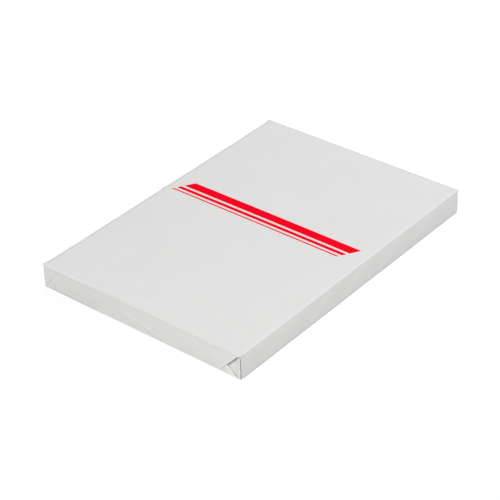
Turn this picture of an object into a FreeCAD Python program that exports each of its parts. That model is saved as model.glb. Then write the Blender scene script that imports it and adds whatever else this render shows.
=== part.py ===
"""A sealed ream of paper in its wrapper, lying flat and folded shut at both short ends.

The pack lies on its underside with its length along Y, its width along X and its height along Z.
The origin is the middle of the underside. Both ends are folded alike.
"""

import FreeCAD
import Part
import os

from FreeCAD import Vector

# The stack of sheets
sheet_length = 297.0
sheet_width = 210.0
sheet_count = 250
sheet_caliper = 0.09

# The wrapper, and the air that it holds at each side, at each end and over the stack
wrapper_caliper = 0.12
side_air = 0.2
end_air = 0.2
top_air = 0.1

# Rounding where the wrapper turns over the stack's edges
long_edge_radius = 1.0
end_edge_radius = 0.8
upright_edge_radius = 0.6

# Folded ends: the side tucks lie on the stack, the lower flap on the tucks, the upper flap on the lower one.
# The wrapper reaches past the stack by the same overhang all round, which is the height of each flap.
# A lift is how far a flap stands out from what it lies on, with the air under it.
end_overhang = 22.0
lower_flap_lift = 0.5
upper_flap_lift = 0.6
fold_mouth_depth = 2.5

# Lap seam along the underside: a step at the wrapper's outer edge, which fades out beside it
seam_offset = 24.0
seam_step = 0.2
seam_fade = 6.0

# Sizes that follow
stack_height = sheet_count * sheet_caliper
pack_width = sheet_width + 2 * (wrapper_caliper + side_air)
pack_height = stack_height + 2 * wrapper_caliper + top_air
tuck_length = sheet_length + 2 * (wrapper_caliper + end_air)
lower_length = tuck_length + 2 * lower_flap_lift
pack_length = lower_length + 2 * upper_flap_lift


def prism_along_length(points, length):
    """A prism through both ends of the pack, from the corners of its outline seen from the front end."""
    corners = [Vector(x, -length / 2, z) for x, z in points]
    outline = Part.makePolygon(corners + corners[:1])
    return Part.Face(outline).extrude(Vector(0, length, 0))


def rounded_block(length):
    """The pack at one layer of its ends: a block with every edge rounded, and its corners left pointed."""
    base = Vector(-pack_width / 2, -length / 2, 0)
    block = Part.makeBox(pack_width, length, pack_height, base)
    rounded = block
    for direction, radius in [
        (Vector(0, 1, 0), long_edge_radius),
        (Vector(1, 0, 0), end_edge_radius),
        (Vector(0, 0, 1), upright_edge_radius),
    ]:
        edges = [edge for edge in block.Edges if abs(edge.tangentAt(0).dot(direction)) > 0.5]
        rounded = rounded.common(block.makeFillet(radius, edges))
    return rounded


def flap(crease_height, free_height, length):
    """One flap at each end: as wide as the pack at its crease, with sides that are folded in at 45 degrees."""
    crease = pack_width / 2
    free = crease - end_overhang
    outline = [(-crease, crease_height), (crease, crease_height), (free, free_height), (-free, free_height)]
    return rounded_block(length).common(prism_along_length(outline, length))


def fold_mouths(side):
    """Strips on one side of both ends, just inside the upper flap's folded edge and as deep as its lift allows."""
    top = pack_height - end_edge_radius
    bottom = pack_height - end_overhang
    outer = pack_width / 2 - end_edge_radius
    inner = pack_width / 2 - end_overhang
    strip = 2 ** 0.5 * fold_mouth_depth
    outline = [(outer, top), (inner, bottom), (inner - strip, bottom), (outer - strip, top)]
    return prism_along_length([(side * x, z) for x, z in outline], lower_length)


def lap_seam():
    """What the underside lacks beside the lap seam."""
    outline = [(seam_offset, 0), (seam_offset, seam_step), (seam_offset + seam_fade, 0)]
    return prism_along_length(outline, pack_length)


def wrapped_ream():
    """The sealed pack: block, flaps, the air that the upper flap's folded edges hold, and the seam below."""
    tucked = rounded_block(tuck_length)
    lower_flaps = flap(0, end_overhang, lower_length)
    upper_flaps = flap(pack_height, pack_height - end_overhang, pack_length)
    mouths = fold_mouths(-1).fuse(fold_mouths(1)).cut(tucked).cut(lower_flaps)
    pack = tucked.fuse([lower_flaps, upper_flaps]).cut(mouths).cut(lap_seam())
    return pack.removeSplitter().Solids[0]


os.makedirs("parts", exist_ok=True)
ream = wrapped_ream()
ream.exportStep("parts/wrapped_ream.step")
box = ream.BoundBox
print("wrapped_ream valid", ream.isValid(), "faces", len(ream.Faces), "volume", round(ream.Volume))
print("size", round(box.XLength, 3), round(box.YLength, 3), round(box.ZLength, 3))
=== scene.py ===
"""The looks of a sealed ream of paper: its folded wrapper, a plain red print, a pale floor and soft light.

The wrapper is modelled as what it is, one sheet round the stack. Four panels run the whole length of the
sheet, over, under and beside the stack. At each end the two side panels are tucked in first, then the lower
panel is folded up and the upper one down. Where two panels meet, the sheet is folded double along 45 degrees.
"""

import math
from dataclasses import dataclass

import bmesh
import bpy
import numpy as np
from mathutils import Matrix, Vector


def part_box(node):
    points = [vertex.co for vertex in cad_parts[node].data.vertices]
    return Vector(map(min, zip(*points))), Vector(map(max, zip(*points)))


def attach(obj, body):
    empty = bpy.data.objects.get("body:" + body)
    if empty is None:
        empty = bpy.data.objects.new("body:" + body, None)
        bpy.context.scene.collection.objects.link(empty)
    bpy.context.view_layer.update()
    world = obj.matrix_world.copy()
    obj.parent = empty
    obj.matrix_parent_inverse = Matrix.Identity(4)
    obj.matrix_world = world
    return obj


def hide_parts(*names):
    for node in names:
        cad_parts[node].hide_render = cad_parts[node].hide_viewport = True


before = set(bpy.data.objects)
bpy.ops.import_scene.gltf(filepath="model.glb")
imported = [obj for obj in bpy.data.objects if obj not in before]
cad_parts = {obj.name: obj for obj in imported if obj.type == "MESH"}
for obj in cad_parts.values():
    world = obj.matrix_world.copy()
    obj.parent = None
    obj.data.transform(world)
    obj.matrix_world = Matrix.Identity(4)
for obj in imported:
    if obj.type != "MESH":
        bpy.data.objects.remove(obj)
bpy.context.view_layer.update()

MM = 0.001

# The pack's outside, from the frame
LOW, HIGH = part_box("wrapped_ream")
HALF_WIDTH = (HIGH.x - LOW.x) / 2
HALF_LENGTH = (HIGH.y - LOW.y) / 2
HEIGHT = HIGH.z - LOW.z

# The wrapper's paper and its folds
PAPER = 0.12 * MM
OVERHANG = 22 * MM
LONG_EDGE_RADIUS = 1.0 * MM
END_EDGE_RADIUS = 0.8 * MM
UPRIGHT_EDGE_RADIUS = 0.5 * MM
UPPER_FLAP_LIFT = 0.6 * MM
LOWER_FLAP_LIFT = 0.5 * MM
UPPER_FOLD_RADIUS = 0.28 * MM
LOWER_FOLD_RADIUS = 0.17 * MM

# The flaps stand out at their folded sides and their creases, and lie back between them
UPPER_LIE_BACK = 0.35 * MM
LOWER_LIE_BACK = 0.1 * MM
LIE_BACK_START = 0.4 * MM
LIE_BACK_REACH = 3.5 * MM

# How far the flaps' folded sides lie inside the 45 degrees from the corners, at the crease and at the free
# edge, by side of the pack: right is 1, left is -1
UPPER_NARROWING = {1: (1.1 * MM, -0.6 * MM), -1: (0.3 * MM, 0.3 * MM)}
LOWER_NARROWING = {1: (4.7 * MM, 4.7 * MM), -1: (-0.5 * MM, -0.5 * MM)}
NARROWING_REACH = 1.5 * MM

# Hollows in the tucks beside the flaps' folded sides: their depth at the corner and at their end, by side
UPPER_MOUTH = {1: (3.6 * MM, 2.0 * MM), -1: (0.3 * MM, 0.3 * MM)}
LOWER_MOUTH = {1: (1.1 * MM, 0.4 * MM), -1: (0.8 * MM, 0.0 * MM)}
MOUTH_REACH = 0.75 * MM
MOUTH_START = 0.2 * MM
MOUTH_RISE = 1.2 * MM
MOUTH_END = 15 * MM
MOUTH_FADE = 2 * MM

# The pinched crease along the upright edges, deep at the front right one: its depth, its width, its direction
# across and along the pack, and between which heights it lies. Then the ridge of the tuck beside it
FRONT_RIGHT_PINCH = 2.0 * MM
OTHER_PINCH = 0.2 * MM
PINCH_REACH = 0.3 * MM
PINCH_INWARD = (0.643, 0.766)
PINCH_TOP = 19.0 * MM
PINCH_BOTTOM = -2.0 * MM
RIDGE_HEIGHT = 0.1 * MM
RIDGE_PLACE = 1.5 * MM
RIDGE_REACH = 0.6 * MM

# The tucks stand out along their bend and lie back from there
TUCK_STAND_OUT = 0.55 * MM
TUCK_SLOPE_START = 2 * MM
TUCK_SLOPE_REACH = 4 * MM

# How far the painted lightening reaches from the outer folds, and how much lighter each kind of fold is
# painted:
# painted highlight on the long sides' top edges, the upper flap's folded side and the tuck's ridge, painted
# light along the lower flap's folded side, lighter paint along the left part of the front's top edge. The last
# two go with the height of a crease, painted lighter, and of a streak, with painted sheen
LIGHTENING_REACH = 0.7 * MM
FLAP_FACE_MARGIN = 0.2 * MM
SIDE_EDGE_HIGHLIGHT = 0.03
UPPER_FLAP_HIGHLIGHT = {1: 1.0, -1: 0.2}
LOWER_FLAP_LIGHT = {1: 0.7, -1: 0.3}
LOWER_FLAP_LIGHT_REACH = 2.5 * MM
TUCK_RIDGE_HIGHLIGHT = {1: 0.35, -1: 0.0}
FRONT_LEFT_LIGHTENING = 0.7
FRONT_LEFT_LIGHTENING_FROM = -50 * MM
FRONT_LEFT_LIGHTENING_RISE = 20 * MM
CREASE_LIGHTENING = 2.2 / MM
STREAK_SHEEN = 0.45 / MM

# Painted shade: how dark the paper is painted inside the flaps' folds, on the upper flap's folded edge, in the
# pinched crease, along the bottom edges, the front's top edge and the edges that make the pack's outline in the
# camera's view
FOLD_SHADE = {"upper": {1: 1.0, -1: 0.0}, "lower": {1: 0.1, -1: 0.1}}
FOLDED_EDGE_SHADE = {1: 2.0, -1: 0.0}
FOLDED_EDGE = 0.38 * MM
PINCH_SHADE = 0.35
PINCH_SHADE_REACH = 0.7 * MM
SIDE_BOTTOM_SHADE = 1.25
FRONT_BOTTOM_SHADE = 0.85
BOTTOM_SHADE_REACH = 0.9 * MM
BOTTOM_SHADE_BAND = 0.9 * MM
CORNER_BAND = 2 * MM
FRONT_EDGE_SHADE = 0.07
OUTLINE_SHADE = 0.85
EDGE_SHADE_REACH = 0.8 * MM
SHADED_END_FROM = -50 * MM

# The lap seam below: the sheet's outer edge, and the step beside it that fades out, with columns at its shares
SEAM_OFFSET = 24 * MM
SEAM_STEP = 0.2 * MM
SEAM_FADE = 6 * MM
SEAM_FADE_SHARES = np.array([1, 0.7, 0.4, 0.15, 0.004])

# The top sags toward the middle of its long edges, by side. The long sides bulge at a share of the height:
# above it they lean in, and below it they tuck under. Only points in a band at each face move, and it fades out
TOP_SAG = {1: 0.15 * MM, -1: 0.38 * MM}
SIDE_INSET = 0.1 * MM
SIDE_LEAN = 0.8 * MM
SIDE_TUCK_UNDER = 0.12 * MM
SIDE_BULGE_AT = 0.38
SIDE_BAND = 9 * MM
SIDE_BAND_FADE = 8 * MM
TOP_BAND = 1.0 * MM
TOP_BAND_FADE = 0.7 * MM

# The top corners keep their full width as ears, and three of them are drawn out to a point
EAR_REACH = 3 * MM
CORNER_REACH = 12 * MM
POINTED_REACH = 2.6 * MM
POINTED_SHARE = 0.8
POINTED_PULL = (1, 0.3, 0.7)

# Where the panels' straight run ends and their overhang begins, a little before the tucks' bend
TUCK_LEAD = 0.3 * MM
GIRTH_END = HALF_LENGTH - UPPER_FLAP_LIFT - LOWER_FLAP_LIFT - UPRIGHT_EDGE_RADIUS - TUCK_LEAD

# Mesh spacing, with the gussets' columns as shares of their width, and what makes one point of two
ARC_STEPS = 3
GIRTH_STEP = 4.2 * MM
FINE_OVERHANG = 2.16 * MM
FINE_STEP = 0.08 * MM
CORNER_OVERHANG = 13.1 * MM
CORNER_STEP = 0.45 * MM
OVERHANG_STEP = 0.9 * MM
UPPER_STEP = 2.3 * MM
LOWER_STEP = 9 * MM
SIDE_STEP = 0.6 * MM
GUSSET_SHARES = np.array([0, 0.03, 0.06, 0.1, 0.2, 0.5, 0.75, 1])
MERGE_DISTANCE = 0.002 * MM
SHARP_ANGLE = math.radians(50)

# The print's place across the top, the slope of its ends and the softness of its outline, in mm
STRIPE_LEFT = -100.0
STRIPE_RIGHT = 80.0
STRIPE_SLANT = 0.6
PRINT_EDGE = 0.12

# The paper and the ink, each between two tones, the paper's painted light and painted shade, and their gloss
PAPER_TONES = ((0.772, 0.772, 0.774, 1), (0.79, 0.79, 0.792, 1))
INK_TONES = ((0.975, 0.002, 0.018, 1), (0.99, 0.003, 0.022, 1))
LIGHTENED_PAPER = (0.93, 0.93, 0.93, 1)
PAINTED_SHADE_PAPER = (0.2, 0.2, 0.2, 1)
ROUGHNESS = (0.6, 0.7)
PAPER_SPECULAR = 0.3
INK_SPECULAR = 0.0

# The paper's patterns: the size of their patches, and the strength and height of their relief
PATTERN_RANGE = (0.3, 0.7)
CLOUD_SIZE = 30 * MM
GLOSS_SIZE = 6 * MM
FIBRE_SIZE = 0.8 * MM
FIBRE_STRENGTH = 0.25
FIBRE_HEIGHT = 0.02 * MM
COCKLE_SIZE = 14 * MM
COCKLE_STRENGTH = 0.5
COCKLE_HEIGHT = 0.12 * MM

# The floor: its half width, how much light it throws back, how white it is seen, and what the light adds
FLOOR_HALF = 20.0
FLOOR_BOUNCE = 0.65
FLOOR_GLOW = 0.865
FLOOR_LIT = 0.17

# The light from all round, and white
SURROUND = 0.3
WHITE = (1, 1, 1, 1)

# The view of the photograph: degrees, metres and the lens for a 36 mm wide film
VIEW_AZIMUTH = 40.05
VIEW_ELEVATION = 33.64
VIEW_ROLL = -1.83
VIEW_DISTANCE = 1.4686
VIEW_AIM = Vector((-3.1 * MM, -5.3 * MM, 0))
FILM_WIDTH = 36.0
LENS = 124.13
CLIP_START = 0.05
CLIP_END = 50


@dataclass
class Panel:
    """One of the sheet's four long panels, seen along its own width, with its outside up."""

    name: str
    origin: Vector
    along: Vector
    outward: Vector
    half: float
    step: float
    lead: float
    radius: float
    fold_radius: float = 0.0
    lie_back: float = 0.0
    narrowing: tuple = ()

    @property
    def is_flap(self):
        return self.fold_radius > 0


@dataclass
class Crease:
    """A soft ridge along a straight line on a face, from one place to another, or a groove if below zero."""

    start: tuple
    end: tuple
    height: float
    reach: float


@dataclass
class Stripe:
    """One printed stripe across the top: its middle and its width along the pack, in mm."""

    middle: float
    width: float


@dataclass
class Softbox:
    """A square lamp that faces the pack: its place and size in metres, its power in watts and its tint."""

    name: str
    place: tuple
    size: float
    watts: float
    tint: tuple


# Creases in the front upper flap (across, up) and soft streaks down the long sides (along, up), all in mm
FLAP_CREASES = [
    Crease((-13.8, 12.6), (9.4, 8.0), 0.2, 0.9),
    Crease((9.4, 8.0), (31.2, 2.5), 0.2, 0.9),
    Crease((24.4, 9.7), (40.6, 2.3), 0.14, 0.8),
    Crease((-44.5, 2.8), (-14.7, 3.3), 0.16, 0.5),
]
SIDE_STREAKS = [
    Crease((108.0, 24.0), (82.0, 10.0), -0.3, 3.4),
    Crease((58.0, 22.0), (24.0, 4.0), -0.3, 3.4),
    Crease((8.0, 21.0), (-16.0, 7.0), -0.28, 3.0),
    Crease((-37.0, 21.0), (-60.0, 9.0), -0.28, 3.0),
    Crease((-96.0, 20.0), (-118.0, 8.0), -0.16, 3.0),
]
STRIPES = [Stripe(18.0, 9.0), Stripe(9.4, 3.6), Stripe(4.4, 1.6)]
SOFTBOXES = [
    Softbox("back", (-0.4, 0.7, 1.4), 1.0, 6.9, (0.995, 0.998, 1.0)),
    Softbox("right", (1.0, 1.15, 0.97), 0.9, 12.4, (1.0, 1.0, 0.99)),
    Softbox("front", (0.5, -1.2, 0.7), 0.9, 11.9, (1.0, 1.0, 0.965)),
]


def panels():
    """The four panels, in the order in which they follow each other round the stack."""
    upper_lead = HALF_LENGTH - END_EDGE_RADIUS - GIRTH_END
    lower_lead = upper_lead - UPPER_FLAP_LIFT
    tuck_lead = TUCK_LEAD + TUCK_STAND_OUT
    middle = HEIGHT / 2
    x, z = Vector((1, 0, 0)), Vector((0, 0, 1))
    return [
        Panel("upper", HEIGHT * z, x, z, HALF_WIDTH, UPPER_STEP, upper_lead, END_EDGE_RADIUS,
              UPPER_FOLD_RADIUS, UPPER_LIE_BACK, (UPPER_NARROWING[-1], UPPER_NARROWING[1])),
        Panel("right", HALF_WIDTH * x + middle * z, -z, x, middle, SIDE_STEP, tuck_lead, UPRIGHT_EDGE_RADIUS),
        Panel("lower", 0 * z, -x, -z, HALF_WIDTH, LOWER_STEP, lower_lead, END_EDGE_RADIUS,
              LOWER_FOLD_RADIUS, LOWER_LIE_BACK, (LOWER_NARROWING[1], LOWER_NARROWING[-1])),
        Panel("left", -HALF_WIDTH * x + middle * z, z, -x, middle, SIDE_STEP, tuck_lead, UPRIGHT_EDGE_RADIUS),
    ]


def smooth(value):
    """0 below 0, 1 above 1, and an even curve between them."""
    t = np.clip(value, 0, 1)
    return t * t * (3 - 2 * t)


def hump(distance, reach):
    """1 at no distance, and down to nothing a little beyond reach."""
    return np.exp(-(distance / reach) ** 2)


def by_side(x, values):
    """The value for the right or the left of the pack at each place across it."""
    return np.where(x > 0, values[1], values[-1])


def along_side(x, y):
    """Places along a long side, toward the right as seen from outside."""
    return np.where(x > 0, y, -y)


def overhangs():
    """Distances from the girth's end to each row of the overhang, close together over the creases."""
    fine = np.arange(FINE_STEP, FINE_OVERHANG - FINE_STEP / 2, FINE_STEP)
    corner_rows = round((CORNER_OVERHANG - FINE_OVERHANG) / CORNER_STEP)
    rows = round((OVERHANG - CORNER_OVERHANG) / OVERHANG_STEP)
    corner = np.linspace(FINE_OVERHANG, CORNER_OVERHANG, corner_rows + 1)
    return np.concatenate([fine, corner, np.linspace(CORNER_OVERHANG, OVERHANG, rows + 1)[1:]])


def overhang_path(distance, lead, radius):
    """How far forward and how far down paper is after a distance: straight for lead, then round a crease."""
    turn = radius * math.pi / 2
    angle = np.clip(distance - lead, 0, turn) / radius
    forward = np.minimum(distance, lead) + radius * np.sin(angle)
    drop = radius * (1 - np.cos(angle)) + np.maximum(distance - lead - turn, 0)
    return forward, drop


def with_seam(across, depth):
    """The lower panel's columns with the lap seam's step and fade in them."""
    seam = -SEAM_OFFSET
    fade = SEAM_FADE_SHARES
    left = across < seam - SEAM_FADE
    right = across > seam
    across = np.concatenate([across[left], seam - SEAM_FADE * fade, [seam], across[right]])
    depth = np.concatenate([depth[left], SEAM_STEP * (1 - smooth(fade)), [0], depth[right]])
    return across, depth


def panel_columns(panel):
    """Places across a panel and how far each is below its plane: half of both rounded edges and the flat."""
    turns = np.linspace(math.pi / 4, 0, ARC_STEPS + 1)
    edge = panel.half - LONG_EDGE_RADIUS * (1 - np.sin(turns))
    edge_depth = LONG_EDGE_RADIUS * (1 - np.cos(turns))
    steps = round(2 * edge[-1] / panel.step)
    flat = np.linspace(-edge[-1], edge[-1], steps + 1)[1:-1]
    across = np.concatenate([-edge, flat, edge[::-1]])
    depth = np.concatenate([edge_depth, 0 * flat, edge_depth[::-1]])
    if panel.name == "lower":
        return with_seam(across, depth)
    return across, depth


def place(panel, across, down, y):
    """Points in space for places across a panel, depths below its plane and places along the pack."""
    origin, along, outward = (np.array(v) for v in (panel.origin, panel.along, panel.outward))
    points = origin + across[..., None] * along - down[..., None] * outward
    points[..., 1] = y
    return points


def creased(across, up, creases):
    """How far a face with creases stands out at each place."""
    height = 0 * across
    for crease in creases:
        start, end = np.array(crease.start) * MM, np.array(crease.end) * MM
        line = end - start
        share = ((across - start[0]) * line[0] + (up - start[1]) * line[1]) / (line @ line)
        share = np.clip(share, 0, 1)
        distance = np.hypot(across - start[0] - share * line[0], up - start[1] - share * line[1])
        height = height + crease.height * MM * hump(distance, crease.reach * MM)
    return height


def fold_inset(from_border, radius):
    """How far the sheet lies back from a flap's face near its folded edge, where it turns under."""
    t = np.clip(1 - from_border / radius, 0, 1)
    return radius * (1 - np.sqrt(1 - t * t))


def flap_inset(panel, end, points, drop, from_sides):
    """How far a flap lies back from the plane of its own crease."""
    settle = smooth((drop - panel.radius) / LIE_BACK_REACH)
    settle = settle * smooth((from_sides - LIE_BACK_START) / LIE_BACK_REACH)
    inset = fold_inset(from_sides, panel.fold_radius) + panel.lie_back * settle
    if panel.name == "upper" and end < 0:
        inset = inset - creased(points[..., 0], points[..., 2], FLAP_CREASES)
    return inset


def mouth(beside, inward, depths):
    """Depth of a hollow beside a flap's folded side, from the corner to past where the two flaps meet."""
    at_corner, at_end = depths
    share = smooth((inward - MOUTH_START) / MOUTH_RISE) * (1 - smooth((inward - MOUTH_END) / MOUTH_FADE))
    depth = at_corner + (at_end - at_corner) * np.clip(inward / MOUTH_END, 0, 1)
    return depth * share * hump(beside, MOUTH_REACH)


def tuck_inset(side, points):
    """How far a tuck lies back from its own plane: away from its bend, and in hollows beside the flaps."""
    inward = HALF_WIDTH - np.abs(points[..., 0])
    from_top, from_bottom = HEIGHT - points[..., 2], points[..., 2]
    upper = from_top + narrowing_at(from_top, UPPER_NARROWING[side])
    lower = from_bottom + narrowing_at(from_bottom, LOWER_NARROWING[side])
    inset = TUCK_STAND_OUT * smooth((inward - TUCK_SLOPE_START) / TUCK_SLOPE_REACH)
    inset = inset + mouth((upper - inward) / 2 ** 0.5, inward, UPPER_MOUTH[side])
    inset = inset + mouth((lower - inward) / 2 ** 0.5, inward, LOWER_MOUTH[side])
    return inset - RIDGE_HEIGHT * hump(inward - RIDGE_PLACE, RIDGE_REACH)


def pinch(panel, end, points):
    """How deep the sheet is pinched in at each point, along the upright edge."""
    z = points[..., 2]
    depth = FRONT_RIGHT_PINCH if panel.name == "right" and end < 0 else OTHER_PINCH
    from_bend = overhangs()[:, None] - panel.lead - panel.radius * math.pi / 4
    share = smooth((z - PINCH_BOTTOM) / MOUTH_FADE) * (1 - smooth((z - PINCH_TOP) / MOUTH_FADE))
    return depth * share * hump(from_bend, PINCH_REACH)


def narrowing_at(drop, narrowing):
    """How far inside the 45 degrees a flap's folded side lies, at a drop below its crease."""
    at_crease, at_free_edge = narrowing
    return (at_crease + (at_free_edge - at_crease) * drop / OVERHANG) * smooth(drop / NARROWING_REACH)


def narrowed(panel, across, drop):
    """A flap's places across at each row, and how far each is from the nearer one of its folded sides."""
    half = across[-1]
    taken = [np.maximum(drop + narrowing_at(drop, amounts), 0) for amounts in panel.narrowing]
    share = (across[None, :] + half) / (2 * half)
    spread = across[None, :] + taken[0] * (1 - share) - taken[1] * share
    from_sides = np.minimum(spread + half - taken[0], half - taken[1] - spread) / 2 ** 0.5
    return spread, from_sides


def overhang_points(panel, end):
    """Points of a panel's overhang at one end, row by row from the girth outward."""
    across, depth = panel_columns(panel)
    forward, drop = (rows[:, None] for rows in overhang_path(overhangs(), panel.lead, panel.radius))
    fade = 1 - smooth(drop / (2 * panel.radius))
    down = drop + fade * depth[None, :]
    y = end * (GIRTH_END + forward)
    if panel.is_flap:
        spread, from_sides = narrowed(panel, across, drop)
        points = place(panel, spread, down, y)
        points[..., 1] -= end * flap_inset(panel, end, points, drop, from_sides) * (1 - fade)
        return points
    side = 1 if panel.name == "right" else -1
    points = place(panel, across[None, :] + 0 * drop, down, y)
    inward = pinch(panel, end, points)
    points[..., 1] -= end * (tuck_inset(side, points) * (1 - fade) + PINCH_INWARD[1] * inward)
    points[..., 0] -= side * PINCH_INWARD[0] * inward
    return points


def panel_points(panel):
    """One whole panel, from its free edge at the front end to the one at the back."""
    across, depth = panel_columns(panel)
    rows = round(2 * GIRTH_END / GIRTH_STEP)
    y = np.linspace(-GIRTH_END, GIRTH_END, rows + 1)
    spread, y = np.meshgrid(across, y)
    down = np.repeat(depth[None, :], rows + 1, axis=0)
    girth = place(panel, spread, down, y)
    return np.concatenate([overhang_points(panel, -1)[::-1], girth, overhang_points(panel, 1)])


def gusset_points(flap_border, tuck_border, radius, end):
    """The double fold between a flap and a tuck, hidden but for its rounded edge along the flap's side."""
    share = GUSSET_SHARES[None, :, None]
    points = flap_border[:, None] * (1 - share) + tuck_border[:, None] * share
    length = np.linalg.norm(tuck_border - flap_border, axis=1)[:, None]
    turned = radius * smooth(GUSSET_SHARES[None, :] * length / radius)
    settled = smooth(2 * GUSSET_SHARES[None, :] - 1)
    folded = flap_border[:, None, 1] - end * turned
    points[..., 1] = folded * (1 - settled) + tuck_border[:, None, 1] * settled
    return points


def gussets(sheet, strips):
    """The eight gussets between flaps and tucks, their painted light and shade, and whether to turn their faces
    over.
    """
    count = len(overhangs())
    outward_rows = {-1: slice(count, None, -1), 1: slice(-count - 1, None)}
    found = []
    for index, panel in enumerate(sheet):
        if not panel.is_flap:
            continue
        before, own, after = strips[index - 1], strips[index], strips[(index + 1) % len(strips)]
        for end, rows in outward_rows.items():
            first = gusset_points(own[rows, 0], before[rows, -1], panel.fold_radius, end)
            last = gusset_points(own[rows, -1], after[rows, 0], panel.fold_radius, end)
            found.append((first, gusset_light_and_shade(first, panel.name), end > 0))
            found.append((last, gusset_light_and_shade(last, panel.name), end < 0))
    return found


def grid_faces(rows, columns, start, turned_over):
    """Quads of a grid of points, whose first point has the index start."""
    faces = []
    for row in range(rows - 1):
        for column in range(columns - 1):
            first = start + row * columns + column
            quad = (first, first + 1, first + columns + 1, first + columns)
            faces.append(quad[::-1] if turned_over else quad)
    return faces


def settle_over_stack(points):
    """The points with the top's sag, the long sides' bulge, streaks and lean, and the top corners' ears."""
    x, y, z = points[:, 0], points[:, 1], points[:, 2]
    middle = 1 - (y / HALF_LENGTH) ** 2
    sag = by_side(x, TOP_SAG) * (x / HALF_WIDTH) ** 2 * middle
    at_top = smooth((z - HEIGHT + TOP_BAND) / TOP_BAND_FADE)
    up = z / HEIGHT
    lean = SIDE_LEAN * np.clip((up - SIDE_BULGE_AT) / (1 - SIDE_BULGE_AT), 0, 1) ** 2
    under = SIDE_TUCK_UNDER * smooth((SIDE_BULGE_AT - up) / SIDE_BULGE_AT)
    streaks = creased(along_side(x, y), z, SIDE_STREAKS)
    at_end = smooth((np.abs(y) - HALF_LENGTH + CORNER_REACH) / CORNER_REACH)
    ear = at_end * (1 - smooth((HEIGHT - z) / EAR_REACH))
    inset = (SIDE_INSET + lean + under - streaks) * (1 - ear)
    at_side = smooth((np.abs(x) - HALF_WIDTH + SIDE_BAND) / SIDE_BAND_FADE)
    settled = points.copy()
    settled[:, 2] = z - sag * at_top
    settled[:, 0] = x - np.sign(x) * inset * at_side
    return pointed(settled)


def pointed(points):
    """The points with the top corners drawn out to a point, but for the front right one."""
    corners = np.sign(points) * (HALF_WIDTH, HALF_LENGTH, 0) + (0, 0, HEIGHT)
    distance = np.linalg.norm(points - corners, axis=1)
    share = POINTED_SHARE * (1 - smooth(distance / POINTED_REACH))
    share = share * ((points[:, 0] < 0) | (points[:, 1] > 0))
    return points + share[:, None] * (corners - points) * POINTED_PULL


def from_folded_side(x, drop, narrowings):
    """How far each place lies from the line of a flap's folded side, at a drop below the flap's crease."""
    inside = np.where(x > 0, narrowing_at(drop, narrowings[1]), narrowing_at(drop, narrowings[-1]))
    return (HALF_WIDTH - np.abs(x) - drop - inside) / 2 ** 0.5


class Spots:
    """Points of the sheet, with how far they are from the pack's edges and what they are on."""

    def __init__(self, points):
        self.x, self.y, self.z = points[..., 0], points[..., 1], points[..., 2]
        self.inward = HALF_WIDTH - np.abs(self.x)
        self.from_end = HALF_LENGTH - np.abs(self.y)
        self.from_top = HEIGHT - self.z
        self.behind_tuck = self.from_end - UPPER_FLAP_LIFT - LOWER_FLAP_LIFT + TUCK_STAND_OUT
        self.side_edge = np.hypot(self.inward, self.from_top)
        self.end_edge = np.hypot(self.from_end, self.from_top)
        self.upright_edge = np.hypot(self.inward, self.behind_tuck)
        self.upper_side = from_folded_side(self.x, self.from_top, UPPER_NARROWING)
        self.lower_side = from_folded_side(self.x, self.z, LOWER_NARROWING)
        self.on_upper = self.from_end < UPPER_LIE_BACK + FLAP_FACE_MARGIN
        self.on_lower = np.abs(self.from_end - UPPER_FLAP_LIFT) < FLAP_FACE_MARGIN
        self.on_tuck = self.from_end < UPPER_FLAP_LIFT + 2 * LOWER_FLAP_LIFT
        self.front_left = (self.y < 0) * smooth((FRONT_LEFT_LIGHTENING_FROM - self.x) / FRONT_LEFT_LIGHTENING_RISE)


def painted_lightening(spots):
    """Painted highlight and light on the outer folds, lighter creases and painted sheen on the side streaks."""
    x, y, z = spots.x, spots.y, spots.z
    on_tuck = spots.on_tuck * smooth(spots.from_top / MOUTH_FADE)
    streaks = np.abs(creased(along_side(x, y), z, SIDE_STREAKS))
    return np.maximum.reduce([
        # Painted highlight on the long sides' top edges and on the upper flap's folded side
        hump(spots.side_edge, LIGHTENING_REACH) * SIDE_EDGE_HIGHLIGHT,
        hump(spots.upper_side, LIGHTENING_REACH) * spots.on_upper * by_side(x, UPPER_FLAP_HIGHLIGHT),
        # Painted light along the lower flap's folded side, and painted highlight on the tuck's ridge
        hump(spots.lower_side, LOWER_FLAP_LIGHT_REACH) * spots.on_lower * by_side(x, LOWER_FLAP_LIGHT),
        hump(spots.inward - RIDGE_PLACE, RIDGE_REACH) * on_tuck * by_side(x, TUCK_RIDGE_HIGHLIGHT),
        # The paper painted lighter along the front's top edge at the left and along the flap's creases
        hump(spots.end_edge, LIGHTENING_REACH) * spots.front_left * FRONT_LEFT_LIGHTENING,
        creased(x, z, FLAP_CREASES) * spots.on_upper * (y < 0) * CREASE_LIGHTENING,
        # Painted sheen along the side streaks
        streaks * (spots.inward < CORNER_BAND) * STREAK_SHEEN,
    ])


def bottom_shade(spots):
    """Painted shade along the bottom edges: the long sides' but for the front right tip, and the front left
    one.
    """
    at_tip = (spots.x > 0) & (spots.y < 0) & (spots.behind_tuck < CORNER_BAND)
    below_side = (spots.inward < BOTTOM_SHADE_BAND) & ~at_tip
    below_front = (spots.y < 0) & (spots.x < SHADED_END_FROM) & (spots.from_end < BOTTOM_SHADE_BAND)
    shade = np.maximum(SIDE_BOTTOM_SHADE * below_side, FRONT_BOTTOM_SHADE * below_front)
    return shade * hump(spots.z, BOTTOM_SHADE_REACH)


def folded_edge_shade(spots):
    """Painted shade on the upper flap's folded edge."""
    on_edge = spots.on_upper & (np.abs(spots.upper_side) < FOLDED_EDGE)
    return by_side(spots.x, FOLDED_EDGE_SHADE) * on_edge


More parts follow.
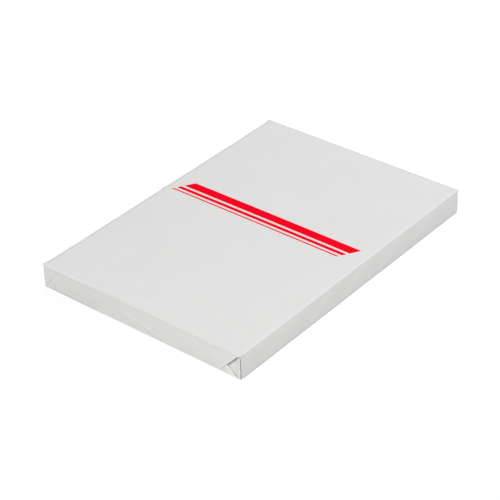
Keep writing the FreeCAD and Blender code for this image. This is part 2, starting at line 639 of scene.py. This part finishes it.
def pinch_shade(spots):
    """Painted shade in the pinched crease at the front right corner."""
    deep = smooth((np.minimum(spots.inward, spots.behind_tuck) - PINCH_REACH) / PINCH_SHADE_REACH)
    in_corner = (spots.inward < CORNER_BAND) & (spots.behind_tuck < CORNER_BAND)
    in_corner = in_corner & (spots.from_top > END_EDGE_RADIUS) & (spots.x > 0) & (spots.y < 0)
    return PINCH_SHADE * (deep * in_corner)


def outline_shade(spots):
    """Painted shade along the edges that make the pack's outline in the camera's view, but for the bottom ones.
    """
    return OUTLINE_SHADE * np.maximum.reduce([
        hump(spots.side_edge, EDGE_SHADE_REACH) * (spots.x < 0),
        hump(spots.end_edge, EDGE_SHADE_REACH) * (spots.y > 0),
        hump(spots.upright_edge, EDGE_SHADE_REACH) * (spots.x * spots.y > 0),
    ])


def front_edge_shade(spots):
    """Painted shade along the front's top edge, but for its lightened left part."""
    return FRONT_EDGE_SHADE * hump(spots.end_edge, EDGE_SHADE_REACH) * (spots.y < 0) * (1 - spots.front_left)


def painted_light_and_shade(points):
    """Painted light and shade: up to 1 on the outer folds, 0 away from them, and below 0 for painted shade."""
    spots = Spots(points)
    # Painted shade of the bottom edges, the upper flap's folded edge, the pinch, the outline and the front's
    # top edge
    shade = bottom_shade(spots) + folded_edge_shade(spots) + pinch_shade(spots)
    return painted_lightening(spots) - (shade + outline_shade(spots) + front_edge_shade(spots))


def gusset_light_and_shade(points, flap_name):
    """The gusset's painted shade as a value below 0, but for the border that it shares with the flap."""
    shade = by_side(points[..., 0], FOLD_SHADE[flap_name])
    return np.concatenate([painted_light_and_shade(points[:, 0])[:, None], -shade[:, 1:]], axis=1)


def join_borders(mesh):
    """Make one of the points that lie on each other, and take out faces that are left with no width."""
    shape = bmesh.new()
    shape.from_mesh(mesh)
    bmesh.ops.remove_doubles(shape, verts=shape.verts, dist=MERGE_DISTANCE)
    bmesh.ops.dissolve_degenerate(shape, edges=shape.edges, dist=MERGE_DISTANCE)
    shape.to_mesh(mesh)
    shape.free()


def sheet_mesh():
    """The whole wrapper as one mesh: panels and gussets, joined where their borders meet."""
    sheet = panels()
    strips = [panel_points(panel) for panel in sheet]
    grids = [(strip, painted_light_and_shade(strip), False) for strip in strips] + gussets(sheet, strips)
    points, light_and_shade, faces, start = [], [], [], 0
    for grid, grid_light_and_shade, turned_over in grids:
        rows, columns = grid.shape[:2]
        faces += grid_faces(rows, columns, start, turned_over)
        points.append(grid.reshape(-1, 3))
        light_and_shade.append(grid_light_and_shade.reshape(-1))
        start += rows * columns
    mesh = bpy.data.meshes.new("wrapper")
    points = np.concatenate(points)
    mesh.from_pydata(settle_over_stack(points).tolist(), [], faces)
    # The attribute holds the painted light and shade: above 0 painted lighter, below 0 painted shade
    mesh.attributes.new("painted_light_and_shade", "FLOAT", "POINT").data.foreach_set("value", np.concatenate(light_and_shade))
    join_borders(mesh)
    return mesh


def wrapper():
    """The wrapper with the thickness of its paper, in place of the frame's plain pack."""
    piece = bpy.data.objects.new("wrapper", sheet_mesh())
    bpy.context.scene.collection.objects.link(piece)
    thickness = piece.modifiers.new("paper", "SOLIDIFY")
    thickness.thickness = PAPER
    thickness.offset = -1
    solid = bpy.data.meshes.new_from_object(piece.evaluated_get(bpy.context.evaluated_depsgraph_get()))
    piece.modifiers.clear()
    piece.data = solid
    piece.data.shade_smooth()
    piece.data.set_sharp_from_angle(angle=SHARP_ANGLE)
    piece.data.materials.append(wrapper_paper())
    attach(piece, "root")
    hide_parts("wrapped_ream")


class NodeSheet:
    """A material's node tree, with short ways to add and join its nodes."""

    def __init__(self, name):
        self.material = bpy.data.materials.new(name)
        self.material.use_nodes = True
        self.tree = self.material.node_tree
        self.shader = self.tree.nodes["Principled BSDF"]

    def node(self, kind, **inputs):
        """A new node, whose inputs are named with underscores for spaces."""
        made = self.tree.nodes.new(kind)
        for name, value in inputs.items():
            self.feed(made.inputs[name.replace("_", " ")], value)
        return made

    def feed(self, socket, value):
        """Set a socket to a number or a colour, or join it to another socket."""
        if isinstance(value, bpy.types.NodeSocket):
            self.tree.links.new(value, socket)
        else:
            socket.default_value = value

    def arithmetic(self, operation, *values):
        """A Math node's result."""
        made = self.tree.nodes.new("ShaderNodeMath")
        made.operation = operation
        for socket, value in zip(made.inputs, values):
            self.feed(socket, value)
        return made.outputs[0]

    def ramp(self, value, start, end, low=0.0, high=1.0):
        """low up to start and high from end on, with an even slope between them."""
        bounds = {"From_Min": start, "From_Max": end, "To_Min": low, "To_Max": high}
        return self.node("ShaderNodeMapRange", Value=value, **bounds).outputs[0]

    def mix(self, share, first, second):
        """Between two colours."""
        made = self.tree.nodes.new("ShaderNodeMix")
        made.data_type = "RGBA"
        for socket, value in zip((made.inputs[0], made.inputs[6], made.inputs[7]), (share, first, second)):
            self.feed(socket, value)
        return made.outputs[2]

    def noise(self, place, size, detail):
        """A cloudy pattern with patches of about a size, in metres."""
        return self.node("ShaderNodeTexNoise", Vector=place, Scale=1 / size, Detail=detail).outputs["Fac"]

    def bump(self, height, strength, distance, **inputs):
        """A relief's normal."""
        made = self.node("ShaderNodeBump", Height=height, Strength=strength, Distance=distance, **inputs)
        return made.outputs["Normal"]


def print_mask(sheet, place):
    """1 on the printed stripes of the top face, 0 elsewhere."""
    split = sheet.node("ShaderNodeSeparateXYZ", Vector=place).outputs
    x, y, z = (sheet.arithmetic("DIVIDE", axis, MM) for axis in split)
    slanted = sheet.arithmetic("SUBTRACT", x, sheet.arithmetic("MULTIPLY", y, STRIPE_SLANT))
    half = (STRIPE_RIGHT - STRIPE_LEFT) / 2
    middle = (STRIPE_RIGHT + STRIPE_LEFT) / 2
    from_middle = sheet.arithmetic("ABSOLUTE", sheet.arithmetic("SUBTRACT", slanted, middle))
    between_ends = sheet.ramp(from_middle, half + PRINT_EDGE, half - PRINT_EDGE)
    on_top = sheet.ramp(z, HEIGHT / MM / 2, HEIGHT / MM / 2 + 1)
    mask = 0.0
    for stripe in STRIPES:
        aside = sheet.arithmetic("ABSOLUTE", sheet.arithmetic("SUBTRACT", y, stripe.middle))
        inside = sheet.ramp(aside, stripe.width / 2 + PRINT_EDGE, stripe.width / 2 - PRINT_EDGE)
        mask = sheet.arithmetic("MAXIMUM", inside, mask)
    return sheet.arithmetic("MULTIPLY", sheet.arithmetic("MULTIPLY", mask, between_ends), on_top)


def paper_colour(sheet, place, printed):
    """White paper, lighter where light is painted on it and darker where shade is painted on it, with the ink
    on it.
    """
    cloud = sheet.ramp(sheet.noise(place, CLOUD_SIZE, 3.0), *PATTERN_RANGE)
    light_and_shade = sheet.tree.nodes.new("ShaderNodeAttribute")
    light_and_shade.attribute_name = "painted_light_and_shade"
    # The attribute mixes the paper toward its painted light above 0, and toward the painted shade below 0
    paper = sheet.mix(light_and_shade.outputs["Fac"], sheet.mix(cloud, *PAPER_TONES), LIGHTENED_PAPER)
    painted_shade = sheet.arithmetic("MULTIPLY", light_and_shade.outputs["Fac"], -1.0)
    return sheet.mix(printed, sheet.mix(painted_shade, paper, PAINTED_SHADE_PAPER), sheet.mix(cloud, *INK_TONES))


def paper_relief(sheet, place):
    """Fine fibres, and the soft waves that paper takes on."""
    fibres = sheet.bump(sheet.noise(place, FIBRE_SIZE, 3.0), FIBRE_STRENGTH, FIBRE_HEIGHT)
    return sheet.bump(sheet.noise(place, COCKLE_SIZE, 1.0), COCKLE_STRENGTH, COCKLE_HEIGHT, Normal=fibres)


def wrapper_paper():
    """Smooth white wrapper paper with its red print."""
    sheet = NodeSheet("wrapper_paper")
    place = sheet.tree.nodes.new("ShaderNodeTexCoord").outputs["Object"]
    printed = print_mask(sheet, place)
    gloss = sheet.ramp(sheet.noise(place, GLOSS_SIZE, 4.0), *PATTERN_RANGE, *ROUGHNESS)
    sheet.feed(sheet.shader.inputs["Base Color"], paper_colour(sheet, place, printed))
    sheet.feed(sheet.shader.inputs["Roughness"], gloss)
    specular = sheet.ramp(printed, 0.0, 1.0, PAPER_SPECULAR, INK_SPECULAR)
    sheet.feed(sheet.shader.inputs["Specular IOR Level"], specular)
    sheet.feed(sheet.shader.inputs["Normal"], paper_relief(sheet, place))
    return sheet.material


def camera():
    """The camera of the photograph."""
    azimuth, elevation, roll = (math.radians(v) for v in (VIEW_AZIMUTH, VIEW_ELEVATION, VIEW_ROLL))
    back = Vector((
        math.sin(azimuth) * math.cos(elevation),
        -math.cos(azimuth) * math.cos(elevation),
        math.sin(elevation),
    ))
    level = (-back).cross(Vector((0, 0, 1))).normalized()
    upright = level.cross(-back)
    right = level * math.cos(roll) + upright * math.sin(roll)
    up = upright * math.cos(roll) - level * math.sin(roll)
    turn = Matrix((right, up, back)).transposed()
    data = bpy.data.cameras.new("view")
    data.sensor_width = FILM_WIDTH
    data.lens = LENS
    data.clip_start = CLIP_START
    data.clip_end = CLIP_END
    view = bpy.data.objects.new("view", data)
    view.matrix_world = Matrix.Translation(VIEW_AIM + VIEW_DISTANCE * back) @ turn.to_4x4()
    bpy.context.scene.collection.objects.link(view)
    bpy.context.scene.camera = view


def shine(box):
    """One softbox in its place."""
    data = bpy.data.lights.new(box.name, "AREA")
    data.shape = "SQUARE"
    data.size = box.size
    data.energy = box.watts
    data.color = box.tint
    lamp = bpy.data.objects.new(box.name, data)
    lamp.location = box.place
    lamp.rotation_euler = Vector(box.place).to_track_quat("Z", "Y").to_euler()
    bpy.context.scene.collection.objects.link(lamp)


def seen(tree, ray_kinds):
    """1 for what the camera sees or further kinds of rays meet, and 0 for light that falls on things."""
    path = tree.nodes.new("ShaderNodeLightPath").outputs
    share = path["Is Camera Ray"]
    for name in ray_kinds:
        larger = tree.nodes.new("ShaderNodeMath")
        larger.operation = "MAXIMUM"
        tree.links.new(share, larger.inputs[0])
        tree.links.new(path[name], larger.inputs[1])
        share = larger.outputs[0]
    return share


def mixed(tree, plain, shown, output, ray_kinds):
    """Shade with one node for the light that falls on things and with another for what is seen."""
    both = tree.nodes.new("ShaderNodeMixShader")
    tree.links.new(seen(tree, ray_kinds), both.inputs[0])
    tree.links.new(plain, both.inputs[1])
    tree.links.new(shown, both.inputs[2])
    tree.links.new(both.outputs[0], output.inputs["Surface"])


def floor_paint():
    """White as the camera sees it, with a faint shadow, and pale grey for the light that it throws back."""
    material = bpy.data.materials.new("floor")
    material.use_nodes = True
    tree = material.node_tree
    tree.nodes.remove(tree.nodes["Principled BSDF"])
    plain = tree.nodes.new("ShaderNodeBsdfDiffuse")
    plain.inputs["Color"].default_value = (FLOOR_BOUNCE, FLOOR_BOUNCE, FLOOR_BOUNCE, 1)
    lit = tree.nodes.new("ShaderNodeBsdfDiffuse")
    lit.inputs["Color"].default_value = (FLOOR_LIT, FLOOR_LIT, FLOOR_LIT, 1)
    glow = tree.nodes.new("ShaderNodeEmission")
    glow.inputs["Strength"].default_value = FLOOR_GLOW
    white = tree.nodes.new("ShaderNodeAddShader")
    tree.links.new(lit.outputs[0], white.inputs[0])
    tree.links.new(glow.outputs[0], white.inputs[1])
    output = tree.nodes["Material Output"]
    mixed(tree, plain.outputs[0], white.outputs[0], output, ["Is Transmission Ray"])
    return material


def floor():
    """A plain white floor, which keeps a faint shadow."""
    mesh = bpy.data.meshes.new("floor")
    corners = [(-1, -1), (1, -1), (1, 1), (-1, 1)]
    mesh.from_pydata([(x * FLOOR_HALF, y * FLOOR_HALF, 0) for x, y in corners], [], [(0, 1, 2, 3)])
    mesh.materials.append(floor_paint())
    ground = bpy.data.objects.new("floor", mesh)
    bpy.context.scene.collection.objects.link(ground)


def light():
    """Soft studio light: an even surround and the softboxes."""
    world = bpy.data.worlds.new("studio")
    world.use_nodes = True
    nodes = world.node_tree.nodes
    plain = nodes["Background"]
    plain.inputs["Color"].default_value = WHITE
    plain.inputs["Strength"].default_value = SURROUND
    white = nodes.new("ShaderNodeBackground")
    white.inputs["Color"].default_value = WHITE
    ray_kinds = ["Is Glossy Ray", "Is Transmission Ray"]
    output = nodes["World Output"]
    mixed(world.node_tree, plain.outputs[0], white.outputs[0], output, ray_kinds)
    bpy.context.scene.world = world
    for box in SOFTBOXES:
        shine(box)


bpy.context.scene.view_settings.view_transform = "Standard"
wrapper()
floor()
light()
camera()
